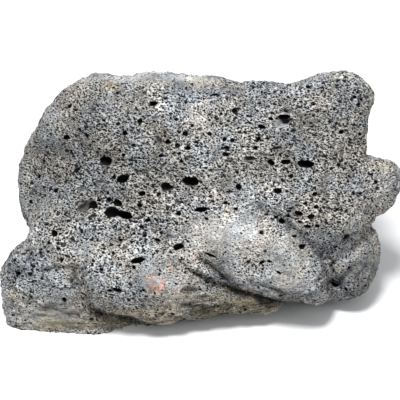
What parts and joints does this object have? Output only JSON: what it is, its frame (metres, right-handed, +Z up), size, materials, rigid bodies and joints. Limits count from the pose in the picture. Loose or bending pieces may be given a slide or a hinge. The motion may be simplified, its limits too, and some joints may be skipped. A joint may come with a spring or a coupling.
{
  "type": "lava rock",
  "caption": "Loose boulder of grey vesicular basalt: a broad leaning face full of burst gas bubbles, rounded lobes low down and a flat broken sole that it rests on.",
  "frame": {"origin": "on the flat sole that the stone rests on, under the middle of its box", "axes": "+Z up, +X along the long side towards the round knob, -Y towards the broad pitted face"},
  "size_m": [0.3026, 0.1775, 0.165],
  "materials": {
    "basalt": "dry, matt, rough broken lava"
  },
  "bodies": {
    "root": {"lava_rock": "basalt"}
  },
  "joints": []
}
